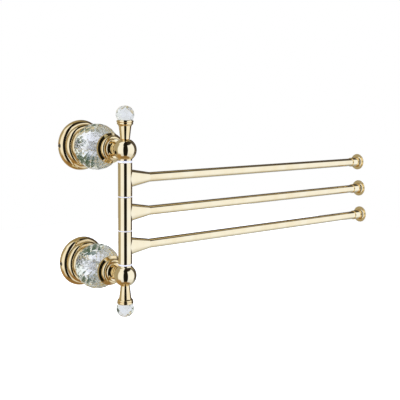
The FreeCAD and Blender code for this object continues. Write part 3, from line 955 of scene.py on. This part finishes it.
@dataclass
class Studio:
    """Pale floor, soft light and the camera at the photograph's viewing angle.

    The lens and the sensor are millimetres, other lengths metres, and angles degrees. The way to
    the camera, from which azimuths are counted, starts at the post, post_depth off the wall.
    """

    lens: float = 65.87
    sensor: float = 36.0
    place: Point = (-0.416473, -0.708889, 0.116777)
    yaw: float = -39.922
    pitch: float = 7.851
    roll: float = 0.733
    post_depth: float = 0.092
    floor_height: float = -1.2
    floor_size: float = 12.0
    floor_glow: float = 1.0
    floor_rough: float = 0.9
    floor_tone: Colour = (0.9, 0.9, 0.9)
    lamp_height: float = 2.0
    lamp_size: float = 6.0
    lamp_power: float = 110.0
    bounces: int = 24
    # what the metal mirrors
    softbox: Colour = (1.09, 1.24, 1.68)
    low_softbox: Colour = (0.92, 1.03, 1.36)
    camera_gap: Colour = (0.012, 0.012, 0.010)
    far_left: Colour = (0.45, 0.43, 0.36)
    far_right: Colour = (0.10, 0.09, 0.085)
    low_left: Colour = (0.44, 0.30, 0.14)
    high_left: Colour = (0.36, 0.33, 0.24)
    low_right: Colour = (0.58, 0.64, 0.74)
    high_right: Colour = (0.04, 0.035, 0.03)
    ground: Colour = (0.32, 0.22, 0.11)
    # what the crystal shows
    clear_pane: Colour = (0.98, 0.99, 1.00)
    grey_pane: Colour = (0.77, 0.79, 0.80)
    green_pane: Colour = (0.92, 1.00, 0.88)
    high_pane: Colour = (0.50, 0.56, 0.50)
    frame_bar: Colour = (0.06, 0.08, 0.05)
    dark_belt: Colour = (0.05, 0.10, 0.05)

    def build(self) -> None:
        """Make the camera, the floor, the lamp and the surroundings."""
        LOG.info("studio")
        bpy.context.scene.view_settings.view_transform = "Standard"
        self._light_paths()
        self._camera()
        self._floor()
        self._lamp()
        self._surroundings()

    def _light_paths(self) -> None:
        """Let light turn often enough inside the cut crystal."""
        cycles = bpy.context.scene.cycles
        cycles.max_bounces = self.bounces
        cycles.glossy_bounces = self.bounces
        cycles.transmission_bounces = self.bounces

    def _camera(self) -> None:
        """Add the camera."""
        data = bpy.data.cameras.new("camera")
        data.lens, data.sensor_width = self.lens, self.sensor
        camera = bpy.data.objects.new("camera", data)
        bpy.context.scene.collection.objects.link(camera)
        turn = Matrix.Rotation(math.radians(self.yaw), 4, "Z")
        tilt = Matrix.Rotation(math.radians(90.0 - self.pitch), 4, "X")
        lean = Matrix.Rotation(math.radians(self.roll), 4, "Z")
        camera.matrix_world = Matrix.Translation(self.place) @ turn @ tilt @ lean
        bpy.context.scene.camera = camera

    def _floor(self) -> None:
        """Add the pale floor, which stays out of the metal's reflections."""
        bpy.ops.mesh.primitive_plane_add(
            size=self.floor_size, location=(0.0, 0.0, self.floor_height))
        floor = bpy.context.object
        floor.name = "floor"
        material = bpy.data.materials.new("pale_floor")
        material.use_nodes = True
        shader = material.node_tree.nodes["Principled BSDF"]
        shader.inputs["Base Color"].default_value = (*self.floor_tone, 1.0)
        shader.inputs["Roughness"].default_value = self.floor_rough
        shader.inputs["Emission Color"].default_value = (*FULL, 1.0)
        shader.inputs["Emission Strength"].default_value = self.floor_glow
        floor.data.materials.append(material)
        floor.visible_glossy = False
        floor.visible_transmission = False

    def _lamp(self) -> None:
        """Add one large soft lamp overhead."""
        data = bpy.data.lights.new("overhead", "AREA")
        data.shape, data.size, data.energy = "SQUARE", self.lamp_size, self.lamp_power
        lamp = bpy.data.objects.new("overhead", data)
        lamp.location = (0.0, 0.0, self.lamp_height)
        lamp.visible_glossy = False
        lamp.visible_transmission = False
        bpy.context.scene.collection.objects.link(lamp)

    def _surroundings(self) -> None:
        """Make the world: what metal mirrors, what crystal shows, and a white backdrop."""
        world = bpy.data.worlds.new("studio")
        world.use_nodes = True
        bpy.context.scene.world = world
        nodes = world.node_tree.nodes
        paint = WorldPainter(world.node_tree, math.degrees(
            math.atan2(self.place[1] + self.post_depth, self.place[0])))
        way = nodes.new("ShaderNodeTexCoord")
        split = nodes.new("ShaderNodeSeparateXYZ")
        world.node_tree.links.new(way.outputs["Generated"], split.inputs["Vector"])
        across = paint.spread(
            paint.maths("ARCTAN2", split.outputs["Y"], split.outputs["X"]), math.pi)
        level = paint.spread(paint.maths("ARCSINE", split.outputs["Z"]), math.pi / 2)
        mirrored = self._mirrored(paint, across, level)
        shown = self._shown(paint, across, level)
        path = nodes.new("ShaderNodeLightPath")
        light = paint.mix("MIX", mirrored, shown, path.outputs["Transmission Depth"])
        seen = paint.mix("MIX", light, paint.even(FULL), path.outputs["Is Camera Ray"])
        world.node_tree.links.new(seen, nodes["Background"].inputs["Color"])

    def _mirrored(self, paint: WorldPainter, across: bpy.types.NodeSocket,
                  level: bpy.types.NodeSocket) -> bpy.types.NodeSocket:
        """Paint softboxes round the product, with a dark gap for the camera.

        Args:
            paint: the world's painter.
            across: socket with the azimuth's place.
            level: socket with the elevation's place.

        Returns:
            Socket with the light that polished metal mirrors.
        """
        level_walls = paint.ramp(across, paint.round_about([
            (-178, self.far_left), (-82, self.far_left), (-72, self.softbox),
            (-21, self.softbox), (-16, self.camera_gap), (27, self.camera_gap),
            (32, self.softbox), (101, self.softbox), (108, self.far_right),
            (179, self.far_right)]))
        low_walls = paint.ramp(across, paint.round_about([
            (-178, self.low_left), (-66, self.low_left), (-48, self.low_softbox),
            (-21, self.low_softbox), (-16, self.camera_gap), (27, self.camera_gap),
            (32, self.low_softbox), (100, self.low_softbox), (116, self.low_right),
            (179, self.low_right)]))
        high_walls = paint.ramp(across, paint.round_about([
            (-178, self.high_left), (-108, self.high_left), (-90, self.softbox),
            (-29, self.softbox), (-23, self.camera_gap), (34, self.camera_gap),
            (50, self.high_right), (122, self.high_right), (136, self.high_left),
            (179, self.high_left)]))
        lower = paint.ramp(level, paint.up_and_down([
            (-90, FULL), (-40, FULL), (-25, NONE), (90, NONE)]))
        higher = paint.ramp(level, paint.up_and_down([
            (-90, NONE), (42, NONE), (48, FULL), (90, FULL)]))
        deepest = paint.ramp(level, paint.up_and_down([
            (-90, FULL), (-64, FULL), (-53, NONE), (90, NONE)]))
        light = paint.mix("MIX", level_walls, low_walls, lower)
        light = paint.mix("MIX", light, high_walls, higher)
        return paint.mix("MIX", light, paint.even(self.ground), deepest)

    def _shown(self, paint: WorldPainter, across: bpy.types.NodeSocket,
               level: bpy.types.NodeSocket) -> bpy.types.NodeSocket:
        """Paint bright panes between dark bars and belts, for the facets to break up.

        Args:
            paint: the world's painter.
            across: socket with the azimuth's place.
            level: socket with the elevation's place.

        Returns:
            Socket with the light that comes out of the crystal.
        """
        clear, grey, green = self.clear_pane, self.grey_pane, self.green_pane
        bar, belt = self.frame_bar, self.dark_belt
        panes = paint.ramp(across, paint.round_about([
            (-179.5, grey), (-150, grey), (-147, bar), (-137, bar), (-134, green),
            (-88, green), (-85, bar), (-74, bar), (-71, clear), (-21, clear), (-18, bar),
            (-10, bar), (-7, clear), (60, clear), (74, green), (118, green), (121, bar),
            (132, bar), (135, green), (155, grey), (179.5, grey)]))
        belts = paint.ramp(across, paint.round_about([
            (-179.5, grey), (-130, grey), (-110, clear), (-10, clear), (-5, belt), (80, belt),
            (85, green), (150, grey), (179.5, grey)]))
        in_belts = paint.ramp(level, paint.up_and_down([
            (-90, NONE), (-45, NONE), (-42, FULL), (-23, FULL), (-20, NONE), (9, NONE),
            (12, FULL), (32, FULL), (35, NONE), (90, NONE)]))
        overhead = paint.ramp(level, paint.up_and_down([
            (-90, FULL), (50, FULL), (54, self.high_pane), (90, self.high_pane)]))
        return paint.mix("MULTIPLY", paint.mix("MIX", panes, belts, in_belts), overhead)


def main() -> None:
    """Build the dressed towel bar in its studio."""
    logging.basicConfig(level=logging.INFO, format="%(message)s")
    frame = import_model()
    bpy.ops.object.select_all(action="DESELECT")
    Studio().build()
    for side in Side:
        WallBracket(side, frame).build()
    PivotPost(frame).build()
    for arm in Arm:
        SwingArm(arm, frame).build()


if __name__ == "__main__":
    main()
